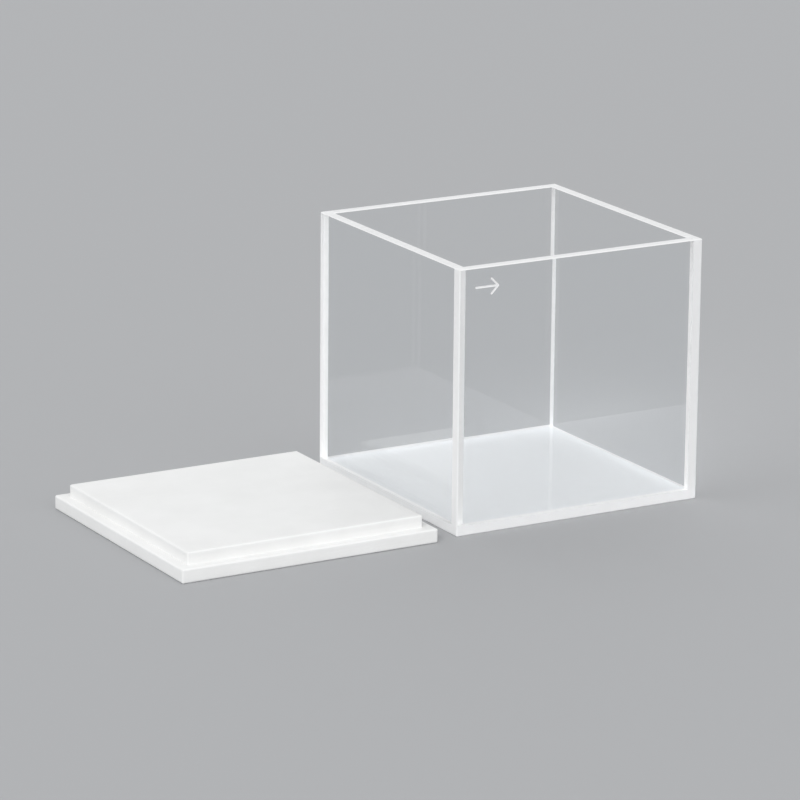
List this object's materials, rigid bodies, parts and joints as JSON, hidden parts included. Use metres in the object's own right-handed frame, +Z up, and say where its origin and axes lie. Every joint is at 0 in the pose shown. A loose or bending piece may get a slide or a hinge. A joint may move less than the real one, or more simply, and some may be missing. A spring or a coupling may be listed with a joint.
{
  "type": "cuvette",
  "caption": "Large square open-topped optical cell of clear bonded plates with white ground edges, and its white plug lid lying beside it.",
  "frame": {"origin": "centre of the cell's underside", "axes": "+Z up out of the mouth; the etched wall faces -Y; the lid lies towards -X"},
  "size_m": [0.1129, 0.0555, 0.052],
  "materials": {
    "wall_glass": "clear, polished faces, edges ground white",
    "base_glass": "clear, polished floor, edges ground white",
    "lid_plastic": "matte white, machined"
  },
  "bodies": {
    "root": {"base_plate": "base_glass", "front_wall": "wall_glass", "right_wall": "wall_glass", "back_wall": "wall_glass", "left_wall": "wall_glass", "lid": "lid_plastic"}
  },
  "joints": []
}
